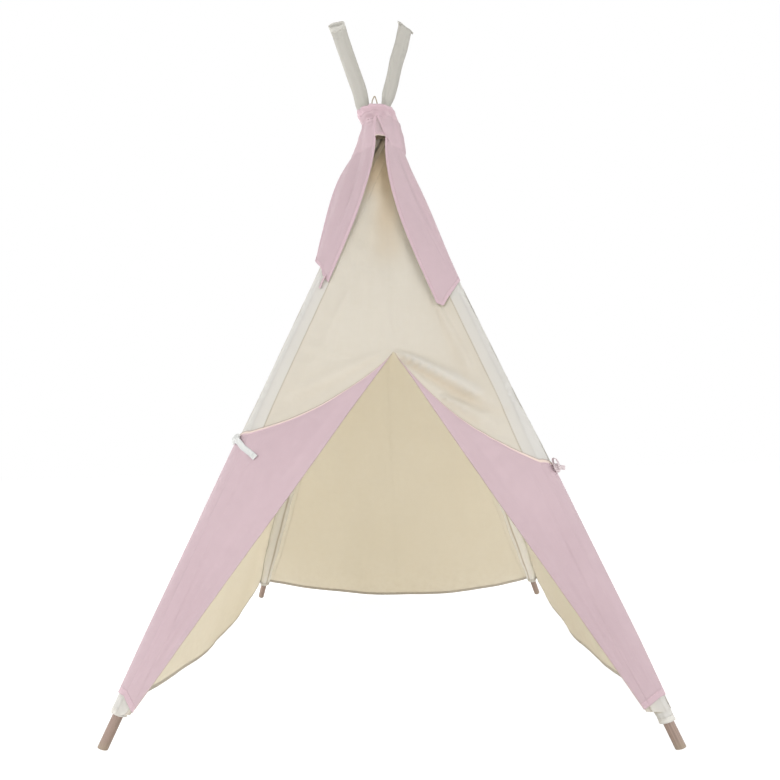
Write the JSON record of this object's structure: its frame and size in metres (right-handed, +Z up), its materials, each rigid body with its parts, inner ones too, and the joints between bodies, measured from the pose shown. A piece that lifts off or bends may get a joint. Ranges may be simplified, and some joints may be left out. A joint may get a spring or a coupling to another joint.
{
  "type": "children's teepee tent",
  "caption": "Children's canvas teepee on crossed wooden poles, with tied-back door flaps, a fabric cap at the crossing and a frame that folds shut.",
  "frame": {"origin": "on the floor, straight under the crossing of the poles, in the middle of the four feet", "axes": "+Z up, +Y to the back, the doorway faces -Y, +X to the right of someone facing the doorway"},
  "size_m": [1.038, 1.038, 1.6234],
  "materials": {
    "pole_wood": "sanded, unvarnished",
    "joiner_steel": "plain",
    "sleeve_canvas": "plain-woven cotton",
    "cream_canvas": "plain-woven cotton",
    "pink_canvas": "plain-woven cotton",
    "tie_ribbon": "narrow woven tape",
    "lashing_cord": "twisted cotton cord"
  },
  "bodies": {
    "crown": {"apex_cap": "pink_canvas", "pole_lashing": "lashing_cord", "front_panel": "cream_canvas", "left_panel": "cream_canvas", "right_panel": "cream_canvas", "back_panel": "cream_canvas"},
    "leg_front_left": {"front_left_pole_lower": "pole_wood", "front_left_pole_upper": "pole_wood", "front_left_joiner": "joiner_steel", "front_left_sleeve": "sleeve_canvas", "cap_tail_left": "pink_canvas", "tail_tie_left": "pink_canvas", "tie_ribbon_left": "tie_ribbon"},
    "leg_front_right": {"front_right_pole_lower": "pole_wood", "front_right_pole_upper": "pole_wood", "front_right_joiner": "joiner_steel", "front_right_sleeve": "sleeve_canvas", "cap_tail_right": "pink_canvas", "tie_bow_right": "tie_ribbon"},
    "leg_back_left": {"back_left_pole_lower": "pole_wood", "back_left_pole_upper": "pole_wood", "back_left_joiner": "joiner_steel", "back_left_sleeve": "sleeve_canvas"},
    "leg_back_right": {"back_right_pole_lower": "pole_wood", "back_right_pole_upper": "pole_wood", "back_right_joiner": "joiner_steel", "back_right_sleeve": "sleeve_canvas"},
    "door_flap_left": {"door_flap_left": "pink_canvas"},
    "door_flap_right": {"door_flap_right": "pink_canvas"}
  },
  "joints": [
    {"name": "fold_front_left", "type": "hinge", "parent": "crown", "child": "leg_front_left", "pos_m": [0.01238, -0.01238, 1.37044], "axis": [0.6897, -0.7241, 0], "range_deg": [0, 22], "deforming": ["front_panel", "left_panel", "right_panel", "back_panel", "apex_cap", "cap_tail_left", "cap_tail_right"]},
    {"name": "fold_front_right", "type": "hinge", "parent": "crown", "child": "leg_front_right", "pos_m": [0.01238, 0.01238, 1.37044], "axis": [0.7241, 0.6897, 0], "range_deg": [0, 22]},
    {"name": "fold_back_left", "type": "hinge", "parent": "crown", "child": "leg_back_left", "pos_m": [-0.01238, -0.01238, 1.37044], "axis": [-0.7241, -0.6897, 0], "range_deg": [0, 22]},
    {"name": "fold_back_right", "type": "hinge", "parent": "crown", "child": "leg_back_right", "pos_m": [-0.01238, 0.01238, 1.37044], "axis": [-0.6897, 0.7241, 0], "range_deg": [0, 22]},
    {"name": "swing_flap_left", "type": "hinge", "parent": "leg_front_left", "child": "door_flap_left", "pos_m": [0.01989, -0.24325, 0.75094], "axis": [0.5462, 0.3003, 0.782], "range_deg": [0, 165], "deforming": ["door_flap_left"]},
    {"name": "swing_flap_right", "type": "hinge", "parent": "leg_front_right", "child": "door_flap_right", "pos_m": [0.02909, -0.24339, 0.75111], "axis": [0.5021, -0.3091, -0.8077], "range_deg": [0, 165], "deforming": ["door_flap_right"]}
  ],
  "couplings": [
    {"joint": "fold_front_right", "follows": "fold_front_left", "ratio": 1},
    {"joint": "fold_back_left", "follows": "fold_front_left", "ratio": 1},
    {"joint": "fold_back_right", "follows": "fold_front_left", "ratio": 1}
  ]
}
